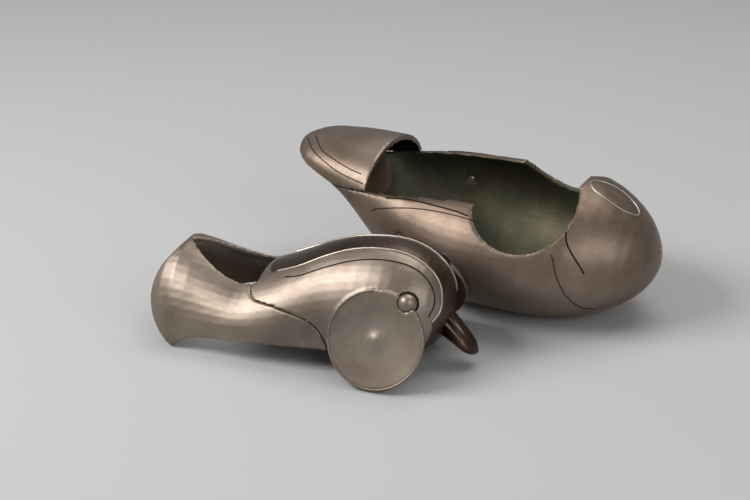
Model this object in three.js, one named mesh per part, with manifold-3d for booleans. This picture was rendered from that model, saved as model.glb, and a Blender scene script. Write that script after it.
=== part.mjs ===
// A bronze duck incense burner in two castings: a bowl, and a cover that stands beside it.
// Millimetres, +Z up, +X from the duck's tail to its breast, the floor at Z = 0.
import * as THREE from "three";
import { mergeVertices } from "three/addons/utils/BufferGeometryUtils.js";
import Module from "manifold-3d";

const wasm = await Module();
wasm.setup();
const { Manifold, Mesh } = wasm;

// Driving sizes
const BOWL_WALL = 4.5;
const COVER_WALL = 3.5;
const GAP = 0.3; // between pieces that touch
const FIT = 1.5; // how much wider a dip is than the disc that drops into it
const DISC_RADIUS = 32.5;
const DISC_THICK = 4;
const PLUG_RADIUS = 2.5;
const EYE_RADIUS = 6.5;
const SIDES = 56; // points round a section
const FAR = 400; // reach of a cutting block

// The bowl: each row is a place along the duck with its underside, widest height, top and half width.
const BOWL_ROWS = [
  { x: -136, under: 85, wide: 89, top: 92, half: 7 },
  { x: -131, under: 80, wide: 87, top: 95, half: 20 },
  { x: -120, under: 76, wide: 84, top: 98, half: 31 },
  { x: -104, under: 71, wide: 80, top: 100, half: 38 },
  { x: -88, under: 58, wide: 76, top: 101, half: 42 },
  { x: -73, under: 39, wide: 70, top: 101, half: 46 },
  { x: -56, under: 22, wide: 63, top: 100, half: 53 },
  { x: -30, under: 6, wide: 54, top: 98, half: 63 },
  { x: 0, under: -3, wide: 48, top: 97, half: 69 },
  { x: 30, under: -4, wide: 46, top: 97, half: 71 },
  { x: 60, under: -4, wide: 45, top: 97, half: 69 },
  { x: 88, under: 0, wide: 45, top: 94, half: 60 },
  { x: 108, under: 8, wide: 45, top: 86, half: 48 },
  { x: 124, under: 18, wide: 45, top: 74, half: 33 },
  { x: 133, under: 29, wide: 45, top: 61, half: 19 },
  { x: 137, under: 38, wide: 45, top: 52, half: 8 },
];
const RIM = [[-64, 76], [-20, 80], [25, 83], [81, 88]]; // the rim in side view
const MOUTH_X = RIM[0][0];
const BREAST_X = RIM[3][0];
const HOOD_EDGE = [[-140, 82], [-118, 77], [-92, 74], [MOUTH_X, RIM[0][1]]]; // the hood's lower edge
const DIP_CENTRE = [53, 45, 88];
const DIP_FACE = [0, 0.89, 0.45]; // the way that the dip's axis points
const DIP_REACH = 45; // how far inwards a dip clears the edge
const RECESS = { from: [87, 94], to: [119, 78], half: 11, thick: 2.4, rise: 4.4 }; // the bill's bed
const PLUG_X = -29;
const PLUG_Z = 55;

// The cover, in its own frame: X = 0 at the discs, the floor at Z = 0.
const COVER_ROWS = [
  { x: -176, under: -8, wide: 2, top: 46, half: 36 },
  { x: -165, under: -10, wide: 2, top: 56, half: 42 },
  { x: -150, under: -12, wide: 4, top: 61, half: 46 },
  { x: -128, under: -12, wide: 8, top: 55, half: 48 },
  { x: -105, under: -12, wide: 12, top: 49, half: 50 },
  { x: -92, under: -12, wide: 13, top: 51, half: 50 },
  { x: -72, under: -12, wide: 15, top: 60, half: 49 },
  { x: -55, under: -12, wide: 17, top: 68.5, half: 47 },
  { x: -38, under: -12, wide: 20, top: 75, half: 45 },
  { x: -20, under: -10, wide: 24, top: 79, half: 45 },
  { x: -3, under: -6, wide: 28, top: 80, half: 44 },
  { x: 10, under: 0, wide: 32, top: 78, half: 41 },
  { x: 22, under: 8, wide: 35, top: 72.5, half: 35 },
  { x: 31, under: 18, wide: 38, top: 64, half: 25 },
  { x: 35.5, under: 28, wide: 41, top: 55, half: 12 },
];
// The cover's side view: rear edge, lower edge, and the line where wings and head shell are brazed.
const REAR_EDGE = [[-146, 0], [-154, 8], [-162, 21], [-165, 34], [-162, 47], [-155, 57], [-148, 64]];
const LOWER_EDGE = [[-146, 0], [-133, 9], [-98, 14.5], [-61, 16], [-30, 16], [0, 14], [20, 16], [40, 22]];
const BRAZE = [[-98, 60], [-94, 42], [-70, 39], [-45, 33], [-34, 18], [-33, 0]];
const SLOT = [[-149, 0], [-140, 9], [-122, 19], [-105, 23], [-90, 22], [-74, 16], [-66, 0]]; // smoke opening, half
const NECK_LIP_X = -97;
const DISC_CENTRE = [0, 44, 30];
const DISC_FACE = [0, 0.92, 0.39];
const EYE_PLACE = [17, 33.5, 54];
const EYE_FACE = [0.25, 0.93, 0.27];
const BILL = { root: [27, 0, 33], tip: [54, 0, 9], rootHalf: 12, tipHalf: 9, rootThick: 9, tipThick: 3 };
const COVER_PLACE = [0, -121, 0];
const COVER_TURN = THREE.MathUtils.degToRad(7);

// A three.js geometry as a solid for the boolean operations, and back.
function solid(geometry) {
  const g = geometry.clone();
  g.deleteAttribute("normal");
  g.deleteAttribute("uv");
  const merged = mergeVertices(g, 1e-4);
  return new Manifold(
    new Mesh({
      numProp: 3,
      vertProperties: new Float32Array(merged.attributes.position.array),
      triVerts: new Uint32Array(merged.index.array),
    }),
  );
}

function geometryOf(made) {
  const mesh = made.getMesh();
  const g = new THREE.BufferGeometry();
  const points = new Float32Array(mesh.numVert * 3);
  for (let i = 0; i < mesh.numVert; i++)
    for (let k = 0; k < 3; k++) points[3 * i + k] = mesh.vertProperties[i * mesh.numProp + k];
  g.setAttribute("position", new THREE.BufferAttribute(points, 3));
  g.setIndex(new THREE.BufferAttribute(new Uint32Array(mesh.triVerts), 1));
  return g;
}

// A rounded closed body lofted through rows, made smaller all round by a wall.
function body(rows, wall) {
  const keys = ["x", "under", "wide", "top", "half"];
  const curves = keys.map((k) => {
    const pts = rows.map((r, i) => new THREE.Vector3(i, r[k], 0));
    return new THREE.CatmullRomCurve3(pts, false, "catmullrom", 0.5);
  });
  const steps = (rows.length - 1) * 2;
  const rings = [];
  for (let s = 0; s <= steps; s++) {
    const r = {};
    keys.forEach((k, i) => (r[k] = curves[i].getPoint(s / steps).y));
    rings.push(r);
  }
  const front = rings[steps].x - wall;
  const back = rings[0].x + wall;
  const kept = rings.filter((r) => r.x <= front && r.x >= back);
  const points = [];
  for (const r of kept)
    for (let i = 0; i < SIDES; i++) {
      const a = (i / SIDES) * Math.PI * 2;
      const rise = Math.sin(a) > 0 ? r.top - r.wide - wall : r.wide - r.under - wall;
      points.push(r.x, Math.cos(a) * Math.max(r.half - wall, 0.6), r.wide + Math.sin(a) * Math.max(rise, 0.6));
    }
  const index = [];
  for (let s = 0; s + 1 < kept.length; s++)
    for (let i = 0; i < SIDES; i++) {
      const a = s * SIDES + i;
      const b = s * SIDES + ((i + 1) % SIDES);
      index.push(a, b, a + SIDES, b, b + SIDES, a + SIDES);
    }
  for (const end of [0, kept.length - 1]) {
    const r = kept[end];
    const middle = points.length / 3;
    points.push(r.x + (end ? 1.5 : -1.5), 0, r.wide);
    for (let i = 0; i < SIDES; i++) {
      const a = end * SIDES + i;
      const b = end * SIDES + ((i + 1) % SIDES);
      if (end) index.push(a, b, middle);
      else index.push(b, a, middle);
    }
  }
  const g = new THREE.BufferGeometry();
  g.setAttribute("position", new THREE.Float32BufferAttribute(points, 3));
  g.setIndex(index);
  const made = solid(g);
  if (made.volume() > 0) return made;
  const turned = [];
  for (let i = 0; i < index.length; i += 3) turned.push(index[i], index[i + 2], index[i + 1]);
  g.setIndex(turned);
  return solid(g);
}

// A side-view outline (X, Z) made solid between two places along Y.
function sideBlock(outline, from, to) {
  const shape = new THREE.Shape(outline.map(([x, z]) => new THREE.Vector2(x, z)));
  const g = new THREE.ExtrudeGeometry(shape, { depth: to - from, bevelEnabled: false });
  g.rotateX(Math.PI / 2).translate(0, to, 0);
  return solid(g);
}

function planBlock(outline, from, to) {
  const shape = new THREE.Shape(outline.map(([x, y]) => new THREE.Vector2(x, y)));
  const g = new THREE.ExtrudeGeometry(shape, { depth: to - from, bevelEnabled: false });
  return solid(g.translate(0, 0, from));
}

function rod(radius, from, to, sides = 64) {
  const a = new THREE.Vector3(...from);
  const b = new THREE.Vector3(...to);
  const g = new THREE.CylinderGeometry(radius, radius, a.distanceTo(b), sides);
  const turn = new THREE.Quaternion().setFromUnitVectors(new THREE.Vector3(0, 1, 0), b.clone().sub(a).normalize());
  g.applyQuaternion(turn).translate((a.x + b.x) / 2, (a.y + b.y) / 2, (a.z + b.z) / 2);
  return solid(g);
}

const along = (from, way, side, distance) =>
  [from[0] + way[0] * distance, side * (from[1] + way[1] * distance), from[2] + way[2] * distance];
const smooth = (outline, count) =>
  new THREE.CatmullRomCurve3(outline.map(([x, z]) => new THREE.Vector3(x, z, 0)), false, "centripetal")
    .getSpacedPoints(count)
    .map((p) => [p.x, p.y]);

// Bowl
const above = FAR / 2;
const duck = body(BOWL_ROWS, 0).subtract(
  solid(new THREE.BoxGeometry(FAR * 2, FAR * 2, FAR).translate(0, 0, -FAR / 2)),
);
const duckInside = body(BOWL_ROWS, BOWL_WALL).subtract(
  solid(new THREE.BoxGeometry(FAR * 2, FAR * 2, FAR).translate(0, 0, BOWL_WALL - FAR / 2)),
);
const rimLine = smooth(RIM, 24);
const opening = sideBlock([...rimLine, [BREAST_X, above], [MOUTH_X, above]], -FAR, FAR);
let bowlShell = duck.subtract(duckInside).subtract(opening);
for (const side of [-1, 1]) {
  const dip = rod(
    DISC_RADIUS + FIT,
    along(DIP_CENTRE, DIP_FACE, side, -DIP_REACH),
    along(DIP_CENTRE, DIP_FACE, side, 60),
  );
  bowlShell = bowlShell.subtract(dip);
}
const tongueLength = Math.hypot(RECESS.to[0] - RECESS.from[0], RECESS.to[1] - RECESS.from[1]);
const tongue = new THREE.SphereGeometry(1, 32, 20)
  .scale(tongueLength / 2, RECESS.half, RECESS.thick)
  .rotateY(Math.atan2(RECESS.from[1] - RECESS.to[1], RECESS.to[0] - RECESS.from[0]))
  .translate((RECESS.from[0] + RECESS.to[0]) / 2, 0, (RECESS.from[1] + RECESS.to[1]) / 2 + RECESS.rise);
bowlShell = bowlShell.subtract(solid(tongue));
const hoodLine = smooth(HOOD_EDGE, 20);
const lifted = hoodLine.map(([x, z]) => [x, z + GAP]);
const hoodZone = sideBlock([...lifted, [MOUTH_X, above], [-FAR, above], [-FAR, lifted[0][1]]], -FAR, FAR);
const hullZone = sideBlock([...hoodLine, [MOUTH_X, above], [-FAR, above], [-FAR, hoodLine[0][1]]], -FAR, FAR);
const tailHood = bowlShell.intersect(hoodZone);
let bowlHull = bowlShell.subtract(hullZone);
const plugs = {};
for (const [name, side] of [["core_plug_left", 1], ["core_plug_right", -1]]) {
  const from = [PLUG_X, side * 40, PLUG_Z];
  const to = [PLUG_X, side * 90, PLUG_Z];
  plugs[name] = bowlShell.intersect(rod(PLUG_RADIUS, from, to, 24));
  bowlHull = bowlHull.subtract(rod(PLUG_RADIUS + GAP, from, to, 24));
}

// Cover
const lower = smooth(LOWER_EDGE, 40);
const belowEdge = sideBlock([...lower, [FAR, lower[lower.length - 1][1]], [FAR, -FAR], [lower[0][0], -FAR]], -FAR, FAR);
const rear = smooth(REAR_EDGE, 24);
const behindEdge = sideBlock(
  [[-FAR, -FAR], [rear[0][0], -FAR], ...rear, [rear[rear.length - 1][0], above], [-FAR, above]],
  -FAR,
  FAR,
);
const slotSide = smooth(SLOT, 30);
const slot = planBlock(
  [...slotSide, ...slotSide.slice(1, -1).reverse().map(([x, y]) => [x, -y])].map(([x, y]) => [x, -y]),
  20,
  above,
).intersect(sideBlock([[-FAR, 0], [NECK_LIP_X + 5, 0], [NECK_LIP_X + 5, above], [-FAR, above]], -FAR, FAR));
const coverShell = body(COVER_ROWS, 0)
  .subtract(body(COVER_ROWS, COVER_WALL))
  .subtract(belowEdge)
  .subtract(behindEdge)
  .subtract(slot);
const brazeLine = smooth(BRAZE, 24);
const wingZone = (grow) =>
  sideBlock(
    [[-FAR, -FAR], [brazeLine[24][0] + grow, -FAR], ...brazeLine.map(([x, z]) => [x + grow, z + grow]).reverse(),
      [NECK_LIP_X + grow, above], [-FAR, above]],
    -FAR,
    FAR,
  );
const half = (side) => solid(
  new THREE.BoxGeometry(FAR * 2, FAR, FAR * 2).translate(0, side * (FAR / 2 + GAP / 2), 0),
);
const wings = coverShell.intersect(wingZone(0));
let headShell = coverShell.subtract(wingZone(GAP));
for (const side of [-1, 1]) {
  headShell = headShell.add(
    rod(DISC_RADIUS, along(DISC_CENTRE, DISC_FACE, side, 0), along(DISC_CENTRE, DISC_FACE, side, DISC_THICK)),
  );
}
headShell = headShell.subtract(wingZone(GAP).intersect(body(COVER_ROWS, 0)));
const eyes = {};
for (const [name, side] of [["left_eye", 1], ["right_eye", -1]]) {
  const ball = solid(new THREE.SphereGeometry(EYE_RADIUS, 32, 20).translate(...along(EYE_PLACE, EYE_FACE, side, 0)));
  const socket = solid(
    new THREE.SphereGeometry(EYE_RADIUS + GAP, 32, 20).translate(...along(EYE_PLACE, EYE_FACE, side, 0)),
  );
  eyes[name] = ball;
  headShell = headShell.subtract(socket);
}
// The bill: a flattened tongue from the face to its rounded tip.
function billSolid(grow) {
  const root = new THREE.Vector3(...BILL.root);
  const tip = new THREE.Vector3(...BILL.tip);
  const way = tip.clone().sub(root);
  const up = new THREE.Vector3(-way.z, 0, way.x).normalize();
  const points = [];
  for (let s = 0; s <= 14; s++) {
    const f = s / 14;
    const end = f > 0.75 ? Math.sqrt(Math.max(1 - ((f - 0.75) / 0.25) ** 2, 0)) : 1;
    const w = (BILL.rootHalf + (BILL.tipHalf - BILL.rootHalf) * f) * Math.max(end, 0.25) + grow;
    const h = (BILL.rootThick + (BILL.tipThick - BILL.rootThick) * f) * Math.max(end, 0.5) + grow;
    const c = root.clone().addScaledVector(way, f);
    for (let i = 0; i < 24; i++) {
      const a = (i / 24) * Math.PI * 2;
      const p = c.clone().addScaledVector(up, Math.sin(a) * h);
      points.push(new THREE.Vector3(p.x, p.y + Math.cos(a) * w, p.z));
    }
  }
  return Manifold.hull(points.map((p) => [p.x, p.y, p.z]));
}
const headOutside = body(COVER_ROWS, -GAP);
const bill = billSolid(0).subtract(headOutside);
const billPieces = bill.decompose().sort((a, b) => b.volume() - a.volume());

const group = new THREE.Group();
const material = (colour, rough) =>
  new THREE.MeshStandardMaterial({ color: colour, metalness: 0.9, roughness: rough });
const bronze = material(0x8a765c, 0.4);
const dark = material(0x3a2c22, 0.45);
function place(name, made, look, parent) {
  const mesh = new THREE.Mesh(geometryOf(made), look);
  mesh.name = name;
  parent.add(mesh);
}
const biggest = (made) => made.decompose().sort((a, b) => b.volume() - a.volume())[0];
place("bowl_hull", biggest(bowlHull), bronze, group);
place("tail_hood", biggest(tailHood), bronze, group);
for (const name in plugs) place(name, biggest(plugs[name]), bronze, group);
const cover = new THREE.Group();
cover.position.set(...COVER_PLACE);
cover.rotation.z = COVER_TURN;
place("left_wing", biggest(wings.intersect(half(1))), bronze, cover);
place("right_wing", biggest(wings.intersect(half(-1))), bronze, cover);
place("head_shell", biggest(headShell), bronze, cover);
place("bill", billPieces[0], dark, cover);
for (const name in eyes) place(name, eyes[name], bronze, cover);
group.add(cover);

export default group;
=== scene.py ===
# A bronze duck incense burner: the bowl with its tail hood, and the cover standing beside it.
import math

import bpy
from mathutils import Matrix, Vector
from mathutils.bvhtree import BVHTree


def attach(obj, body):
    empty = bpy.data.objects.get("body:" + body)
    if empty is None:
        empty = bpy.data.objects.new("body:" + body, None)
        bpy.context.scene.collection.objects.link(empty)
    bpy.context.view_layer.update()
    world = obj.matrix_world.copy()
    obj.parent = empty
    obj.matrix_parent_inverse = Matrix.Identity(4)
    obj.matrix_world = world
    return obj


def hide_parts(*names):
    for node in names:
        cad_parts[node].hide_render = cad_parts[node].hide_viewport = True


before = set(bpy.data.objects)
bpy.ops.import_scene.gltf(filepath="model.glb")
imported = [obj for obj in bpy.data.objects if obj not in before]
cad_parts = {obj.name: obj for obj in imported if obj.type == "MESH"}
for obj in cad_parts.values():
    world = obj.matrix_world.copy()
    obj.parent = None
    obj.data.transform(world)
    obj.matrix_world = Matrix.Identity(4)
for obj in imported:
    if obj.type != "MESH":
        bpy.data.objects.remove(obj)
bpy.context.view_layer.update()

MM = 0.001
BOWL = "bowl"
COVER = "cover"
VIEW_AZIMUTH = math.radians(27)
VIEW_ELEVATION = math.radians(24)
VIEW_DISTANCE = 1.218
VIEW_ACROSS = 0.071  # how far right of the view's middle the bowl's foot lies
VIEW_UP = -0.024
LENS = 80.6
COVER_PLACE = Vector((0, -0.121, 0))
COVER_TURN = math.radians(7)
SMOOTH_ANGLE = math.radians(38)


# Materials
def bronze(name, dark, mid, pale, rough, patina=0.0, patina_colour=(0.16, 0.19, 0.13, 1)):
    """Cast bronze under a brown patina: cloudy tone, fine scratches and a soft uneven gloss."""
    material = bpy.data.materials.new(name)
    material.use_nodes = True
    nodes = material.node_tree.nodes
    links = material.node_tree.links
    shader = nodes["Principled BSDF"]
    shader.inputs["Metallic"].default_value = 0.82
    place = nodes.new("ShaderNodeTexCoord")
    cloud = nodes.new("ShaderNodeTexNoise")
    cloud.inputs["Scale"].default_value = 14
    cloud.inputs["Detail"].default_value = 8
    cloud.inputs["Roughness"].default_value = 0.62
    links.new(place.outputs["Object"], cloud.inputs["Vector"])
    tone = nodes.new("ShaderNodeValToRGB")
    tone.color_ramp.elements[0].position = 0.3
    tone.color_ramp.elements[0].color = (*dark, 1)
    tone.color_ramp.elements[1].position = 0.72
    tone.color_ramp.elements[1].color = (*pale, 1)
    middle = tone.color_ramp.elements.new(0.5)
    middle.color = (*mid, 1)
    links.new(cloud.outputs["Fac"], tone.inputs["Fac"])
    colour = tone.outputs["Color"]
    if patina:
        stain = nodes.new("ShaderNodeTexNoise")
        stain.inputs["Scale"].default_value = 38
        stain.inputs["Detail"].default_value = 9
        stain.inputs["Roughness"].default_value = 0.7
        links.new(place.outputs["Object"], stain.inputs["Vector"])
        spread = nodes.new("ShaderNodeMapRange")
        spread.inputs["From Min"].default_value = 0.42
        spread.inputs["From Max"].default_value = 0.62
        spread.inputs["To Max"].default_value = patina
        links.new(stain.outputs["Fac"], spread.inputs["Value"])
        mixed = nodes.new("ShaderNodeMix")
        mixed.data_type = "RGBA"
        links.new(spread.outputs["Result"], mixed.inputs["Factor"])
        links.new(colour, mixed.inputs["A"])
        mixed.inputs["B"].default_value = patina_colour
        colour = mixed.outputs["Result"]
    links.new(colour, shader.inputs["Base Color"])
    stretch = nodes.new("ShaderNodeMapping")
    stretch.inputs["Scale"].default_value = (150, 1100, 1800)
    stretch.inputs["Rotation"].default_value = (0.3, 0.5, 0.2)
    links.new(place.outputs["Object"], stretch.inputs["Vector"])
    scratch = nodes.new("ShaderNodeTexNoise")
    scratch.inputs["Scale"].default_value = 1.5
    scratch.inputs["Detail"].default_value = 4
    links.new(stretch.outputs["Vector"], scratch.inputs["Vector"])
    gloss = nodes.new("ShaderNodeMapRange")
    gloss.inputs["From Min"].default_value = 0.3
    gloss.inputs["From Max"].default_value = 0.7
    gloss.inputs["To Min"].default_value = rough - 0.03
    gloss.inputs["To Max"].default_value = rough + 0.06
    links.new(scratch.outputs["Fac"], gloss.inputs["Value"])
    links.new(gloss.outputs["Result"], shader.inputs["Roughness"])
    pores = nodes.new("ShaderNodeTexNoise")
    pores.inputs["Scale"].default_value = 300
    pores.inputs["Detail"].default_value = 3
    links.new(place.outputs["Object"], pores.inputs["Vector"])
    bump = nodes.new("ShaderNodeBump")
    bump.inputs["Strength"].default_value = 0.06
    bump.inputs["Distance"].default_value = 0.0006
    links.new(pores.outputs["Fac"], bump.inputs["Height"])
    links.new(bump.outputs["Normal"], shader.inputs["Normal"])
    return material


HULL_BRONZE = bronze("hull_bronze", (0.1, 0.068, 0.048), (0.19, 0.14, 0.105), (0.28, 0.22, 0.175), 0.42)
COVER_BRONZE = bronze("cover_bronze", (0.14, 0.105, 0.08), (0.25, 0.2, 0.16), (0.35, 0.295, 0.25), 0.42)
# The bowl's inner walls: green patina blotches on very dark bronze, the darkness partly painted shade in the
# hollow
INNER_PATINA_AND_SHADE = bronze("inner_patina_and_painted_shade", (0.035, 0.032, 0.022), (0.1, 0.085, 0.05), (0.19, 0.16, 0.1), 0.62, 0.7, (0.085, 0.1, 0.065, 1))
# Painted shade: the bill, the strip from neck to forehead and the cover's inner walls are coloured dark for
# shade; soot adds to it on the inner walls
SHADE_DARK_BRONZE = bronze("painted_shade_bronze", (0.035, 0.022, 0.015), (0.07, 0.045, 0.03), (0.12, 0.08, 0.055), 0.34)
WORN_EDGE = bronze("worn_edge", (0.3, 0.25, 0.2), (0.42, 0.36, 0.3), (0.54, 0.48, 0.41), 0.34)
# Near-black for the grooves and seams, and also painted shade: the rim step's wall, the crescent step and the
# inside of the tail hood
DARK_LINE_AND_SHADE = bronze("engraved_line_and_painted_shade", (0.012, 0.009, 0.007), (0.02, 0.015, 0.011), (0.035, 0.026, 0.018), 0.6)


# The CAD nodes' own shapes, merged and shaded smooth, with the inside of each wall darker: partly patina and
# soot, partly painted shade
def merged_copy(node, materials, inner=None, voxel=0):
    bpy.ops.object.select_all(action="DESELECT")
    source = bpy.data.objects[node]
    mesh = source.data.copy()
    piece = bpy.data.objects.new(node + "_cast", mesh)
    bpy.context.scene.collection.objects.link(piece)
    bpy.context.view_layer.objects.active = piece
    piece.select_set(True)
    bpy.ops.object.mode_set(mode="EDIT")
    bpy.ops.mesh.select_all(action="SELECT")
    bpy.ops.mesh.remove_doubles(threshold=0.00008)
    bpy.ops.mesh.dissolve_degenerate(threshold=0.00005)
    bpy.ops.object.mode_set(mode="OBJECT")
    if voxel:
        remesh = piece.modifiers.new("even_skin", "REMESH")
        remesh.mode = "VOXEL"
        remesh.voxel_size = voxel
        soften = piece.modifiers.new("cast_softness", "SMOOTH")
        soften.factor = 0.5
        soften.iterations = 4
        bpy.ops.object.modifier_apply(modifier=remesh.name)
        bpy.ops.object.modifier_apply(modifier=soften.name)
        mesh = piece.data
    mesh.materials.clear()
    for material in materials:
        mesh.materials.append(material)
    if inner:
        for face in mesh.polygons:
            face.material_index = 1 if inner(face.center, face.normal) else 0
    else:
        for face in mesh.polygons:
            face.material_index = 0
    bpy.ops.object.shade_smooth_by_angle(angle=SMOOTH_ANGLE)
    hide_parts(node)
    return piece


# Picks a wall's inner faces, which get the darker inner material: partly patina and soot, partly painted shade
def inward(body_centre):
    def test(centre, normal):
        toward = Vector((0, body_centre.y - centre.y, body_centre.z - centre.z))
        return toward.normalized().dot(normal) > 0.25
    return test


bowl_middle = Vector((0, 0, 0.055))
cover_middle = Vector((0, COVER_PLACE.y, 0.015))
cast = {
    # Inner faces: patina with painted shade in the bowl, painted shade with soot inside the cover
    "bowl_hull": merged_copy("bowl_hull", [HULL_BRONZE, INNER_PATINA_AND_SHADE], inward(bowl_middle), 0.0014),
    # The tail hood's inner faces get the near-black line colour: painted shade under the hood
    "tail_hood": merged_copy("tail_hood", [HULL_BRONZE, DARK_LINE_AND_SHADE], inward(Vector((0, 0, 0.07))), 0.001),
    "left_wing": merged_copy("left_wing", [COVER_BRONZE, SHADE_DARK_BRONZE], inward(cover_middle), 0.0008),
    "right_wing": merged_copy("right_wing", [COVER_BRONZE, SHADE_DARK_BRONZE], inward(cover_middle), 0.0008),
    "head_shell": merged_copy("head_shell", [COVER_BRONZE, SHADE_DARK_BRONZE], inward(cover_middle), 0.0009),
    # The bill's dark colour is painted shade
    "bill": merged_copy("bill", [SHADE_DARK_BRONZE]),
    "left_eye": merged_copy("left_eye", [COVER_BRONZE]),
    "right_eye": merged_copy("right_eye", [COVER_BRONZE]),
    "core_plug_left": merged_copy("core_plug_left", [WORN_EDGE]),
    "core_plug_right": merged_copy("core_plug_right", [WORN_EDGE]),
}
for name, piece in cast.items():
    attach(piece, BOWL if name in ("bowl_hull", "tail_hood", "core_plug_left", "core_plug_right") else COVER)


# Lines of the casting: each follows the surface where the eye sees it, and its twin is its mirror image
right = Vector((math.cos(VIEW_AZIMUTH), math.sin(VIEW_AZIMUTH), 0))
ahead = Vector((
    -math.sin(VIEW_AZIMUTH) * math.cos(VIEW_ELEVATION),
    math.cos(VIEW_AZIMUTH) * math.cos(VIEW_ELEVATION),
    -math.sin(VIEW_ELEVATION),
))
up = right.cross(ahead)
camera_place = -(right * VIEW_ACROSS + up * VIEW_UP + ahead * VIEW_DISTANCE)
FOCAL = LENS / 36 * 750
MIDDLE = (375, 250)
LARGEST_STEP = 0.008  # a longer step means that the line left its surface
cover_frame = Matrix.Translation(COVER_PLACE) @ Matrix.Rotation(COVER_TURN, 4, "Z")


def tree_of(*names):
    points, faces = [], []
    for name in names:
        mesh = cast[name].data
        start = len(points)
        points += [vertex.co.copy() for vertex in mesh.vertices]
        faces += [[start + index for index in face.vertices] for face in mesh.polygons]
    return BVHTree.FromPolygons(points, faces)


def through(corners, steps=8):
    """A smooth run through the corners, as Catmull and Rom give it."""
    run = []
    for i in range(len(corners) - 1):
        p = [Vector(corners[min(max(i + k, 0), len(corners) - 1)]) for k in (-1, 0, 1, 2)]
        for step in range(steps):
            t = step / steps
            run.append(0.5 * (2 * p[1] + (p[2] - p[0]) * t + (2 * p[0] - 5 * p[1] + 4 * p[2] - p[3]) * t * t
                              + (3 * p[1] - p[0] - 3 * p[2] + p[3]) * t ** 3))
    return run + [Vector(corners[-1])]


def on_surface(tree, corners):
    found = []
    for spot in through(corners):
        way = ahead * FOCAL + right * (spot.x - MIDDLE[0]) - up * (spot.y - MIDDLE[1])
        hit = tree.ray_cast(camera_place, way.normalized())
        if hit[0] is None or (found and (hit[0] - found[-1]).length > LARGEST_STEP):
            continue
        found.append(hit[0])
    return found


def bead(name, points, radius, material, body, closed=False):
    curve = bpy.data.curves.new(name, "CURVE")
    curve.dimensions = "3D"
    curve.bevel_depth = radius
    curve.bevel_resolution = 2
    curve.use_fill_caps = True
    spline = curve.splines.new("POLY")
    spline.points.add(len(points) - 1)
    for point, place in zip(spline.points, points):
        point.co = (*place, 1)
    spline.use_cyclic_u = closed
    piece = bpy.data.objects.new(name, curve)
    bpy.context.scene.collection.objects.link(piece)
    bpy.ops.object.select_all(action="DESELECT")
    piece.select_set(True)
    bpy.context.view_layer.objects.active = piece
    bpy.ops.object.convert(target="MESH")
    piece = bpy.context.object
    piece.data.materials.append(material)
    bpy.ops.object.shade_smooth()
    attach(piece, body)
    return piece


def twin(points, body):
    turn = cover_frame if body == COVER else Matrix.Identity(4)
    back = turn.inverted()
    flipped = []
    for point in points:
        local = back @ point
        flipped.append(turn @ Vector((local.x, -local.y, local.z)))
    return flipped


def pair(name, tree, corners, radius, material, body):
    points = on_surface(tree, corners)
    if len(points) > 3:
        bead("near_" + name, points, radius, material, body)
        bead("far_" + name, twin(points, body), radius, material, body)
    return points


head_tree = tree_of("head_shell", "left_wing", "right_wing")
hull_tree = tree_of("bowl_hull")
hood_tree = tree_of("tail_hood")
band_edge = pair("band_edge", head_tree, [
    (278, 271), (300, 265.7), (324, 256.7), (348.5, 250), (372.7, 248.2), (397, 251.2),
    (415, 258), (431, 270), (439.4, 283), (441.8, 298), (439.4, 312), (432, 322),
], 0.0009, WORN_EDGE, COVER)
pair("band_groove", head_tree, [
    (285, 277), (300, 275.4), (324, 267.6), (348.5, 261.5), (372.7, 259.4), (397, 262),
    (415, 268.8), (428.4, 281), (434.5, 295.4), (433.3, 307.6), (428.4, 317),
], 0.0005, DARK_LINE_AND_SHADE, COVER)
# Painted shadow: the dark bead stands for the shadowed outer wall of the rim's step
pair("rim_step", hull_tree, [(386, 198), (405, 199), (425, 203), (455, 211), (468, 216)],
     0.0006, DARK_LINE_AND_SHADE, BOWL)
# Painted shade: a real small step, its dark bead standing for the step's shaded side
pair("crescent_line", hull_tree, [
    (372, 210.4), (380, 208.5), (411, 208.2), (440, 212), (465, 218), (474, 221),
], 0.0004, DARK_LINE_AND_SHADE, BOWL)
pair("breast_fold", hull_tree, [(565.5, 232), (567, 244), (573, 256), (580, 267), (584, 274)],
     0.0006, DARK_LINE_AND_SHADE, BOWL)
pair("breast_line", hull_tree, [
    (551.3, 255), (553, 262), (556.5, 277.7), (566, 296), (580, 307), (594, 309),
], 0.0004, DARK_LINE_AND_SHADE, BOWL)
pair("hood_groove_outer", hood_tree, [(308, 138), (313, 150), (325, 162), (340, 173), (363, 184)],
     0.0004, DARK_LINE_AND_SHADE, BOWL)
pair("hood_groove_inner", hood_tree, [(316, 136), (322, 150), (335, 160), (348, 168), (361, 174)],
     0.0004, DARK_LINE_AND_SHADE, BOWL)
RECESS_MIDDLE = 0.103
RECESS_REACH = (0.0175, 0.0115)  # half length and half width of the bill's bed
recess = []
for step in range(72):
    turn = 2 * math.pi * step / 72
    start = Vector((RECESS_MIDDLE + RECESS_REACH[0] * math.cos(turn), RECESS_REACH[1] * math.sin(turn), 0.2))
    hit = hull_tree.ray_cast(start, Vector((0, 0, -1)))
    if hit[0] is not None:
        recess.append(hit[0])
bead("recess_lip", recess, 0.0007, WORN_EDGE, BOWL, True)

# Rings round the cheek discs and the eyes, in the cover's own frame
DISC_CENTRE = Vector((0, 0.044, 0.03))
DISC_FACE = Vector((0, 0.92, 0.39)).normalized()
DISC_RADIUS = 0.0325
DISC_THICK = 0.004
EYE_PLACE = Vector((0.017, 0.0335, 0.054))
EYE_FACE = Vector((0.25, 0.93, 0.27)).normalized()


def ring(centre, face, radius, steps=96):
    side = face.orthogonal().normalized()
    other = face.cross(side)
    return [centre + (side * math.cos(a) + other * math.sin(a)) * radius
            for a in (2 * math.pi * step / steps for step in range(steps))]


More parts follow.
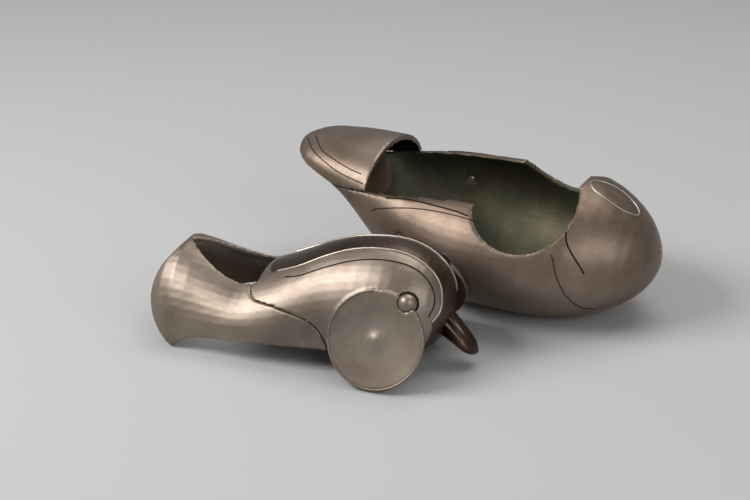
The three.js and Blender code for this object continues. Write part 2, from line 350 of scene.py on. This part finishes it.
disc_round = ring(DISC_CENTRE + DISC_FACE * DISC_THICK, DISC_FACE, DISC_RADIUS - 0.0008)


def melts(point):
    """Towards the eye the disc's edge melts into the cheek, so no edge shows there."""
    return point.x > -0.004 and point.z > DISC_CENTRE.z + 0.004


first = next(i for i, p in enumerate(disc_round) if not melts(p) and melts(disc_round[i - 1]))
disc_round = disc_round[first:] + disc_round[:first]
disc_ring = [cover_frame @ p for p in disc_round if not melts(p)]
eye_ring = [cover_frame @ p for p in ring(EYE_PLACE + EYE_FACE * 0.001, EYE_FACE, 0.0068)]
for side, rings in (("left", (disc_ring, eye_ring)), ("right", (twin(disc_ring, COVER), twin(eye_ring, COVER)))):
    bead(side + "_disc_edge", rings[0], 0.0008, COVER_BRONZE, COVER)
    bead(side + "_eye_seam", rings[1], 0.0008, DARK_LINE_AND_SHADE, COVER, True)

# The dish of each cheek disc, and the strip from neck to forehead between the two band edges, darkened with
# painted shade
head = cast["head_shell"].data
to_cover = cover_frame.inverted()
DISH_DEPTH = 0.0022
for vertex in head.vertices:
    local = to_cover @ vertex.co
    sign = 1 if local.y > 0 else -1
    face = Vector((DISC_FACE.x, DISC_FACE.y * sign, DISC_FACE.z))
    centre = Vector((DISC_CENTRE.x, DISC_CENTRE.y * sign, DISC_CENTRE.z)) + face * DISC_THICK
    off = local - centre
    height = off.dot(face)
    reach = (off - face * height).length / (DISC_RADIUS - 0.002)
    if abs(height) < 0.0008 and reach < 1:
        dip = DISH_DEPTH * (1 - reach * reach) * (1 - 0.7 * math.exp(-(reach / 0.16) ** 2))
        vertex.co = cover_frame @ (local - face * dip)
# Painted shade: faces between the band edges, and forward on the head, take the dark bronze
band = [to_cover @ point for point in band_edge]
for face in head.polygons:
    centre = to_cover @ face.center
    near = min(band, key=lambda p: (p.x - centre.x) ** 2 + (p.z - centre.z) ** 2)
    forward = centre.x > 0.024
    if face.material_index == 0 and abs(centre.y) < abs(near.y) and (forward or centre.z > near.z - 0.002):
        face.material_index = 1


# Floor, lights and camera
bpy.ops.object.select_all(action="DESELECT")
bpy.ops.mesh.primitive_plane_add(size=8, location=(0, 0, 0))
floor = bpy.context.object
floor.name = "floor"
grey = bpy.data.materials.new("floor_grey")
grey.use_nodes = True
grey.node_tree.nodes["Principled BSDF"].inputs["Base Color"].default_value = (0.42, 0.42, 0.42, 1)
grey.node_tree.nodes["Principled BSDF"].inputs["Roughness"].default_value = 0.9
floor.data.materials.append(grey)


def lamp(name, place, aim, size, power):
    data = bpy.data.lights.new(name, "AREA")
    data.shape = "RECTANGLE"
    data.size = size
    data.size_y = size * 0.7
    data.energy = power
    light = bpy.data.objects.new(name, data)
    light.location = place
    light.rotation_euler = (Vector(aim) - Vector(place)).to_track_quat("-Z", "Y").to_euler()
    bpy.context.scene.collection.objects.link(light)


lamp("key", (-0.9, -0.8, 1.1), (0, -0.05, 0.03), 0.9, 22)
lamp("fill", (1.1, -0.7, 0.7), (0, 0, 0.05), 1.0, 6)
lamp("top", (0.1, 0.5, 1.3), (0, 0, 0.05), 1.1, 9)

world = bpy.data.worlds.new("studio")
bpy.context.scene.world = world
world.use_nodes = True
world.node_tree.nodes["Background"].inputs["Color"].default_value = (0.6, 0.6, 0.6, 1)
world.node_tree.nodes["Background"].inputs["Strength"].default_value = 0.45

camera = bpy.data.objects.new("camera", bpy.data.cameras.new("camera"))
camera.data.sensor_width = 36
camera.data.lens = LENS
camera.location = camera_place
camera.rotation_euler = ahead.to_track_quat("-Z", "Y").to_euler()
bpy.context.scene.collection.objects.link(camera)
bpy.context.scene.camera = camera
bpy.context.scene.view_settings.view_transform = "Standard"
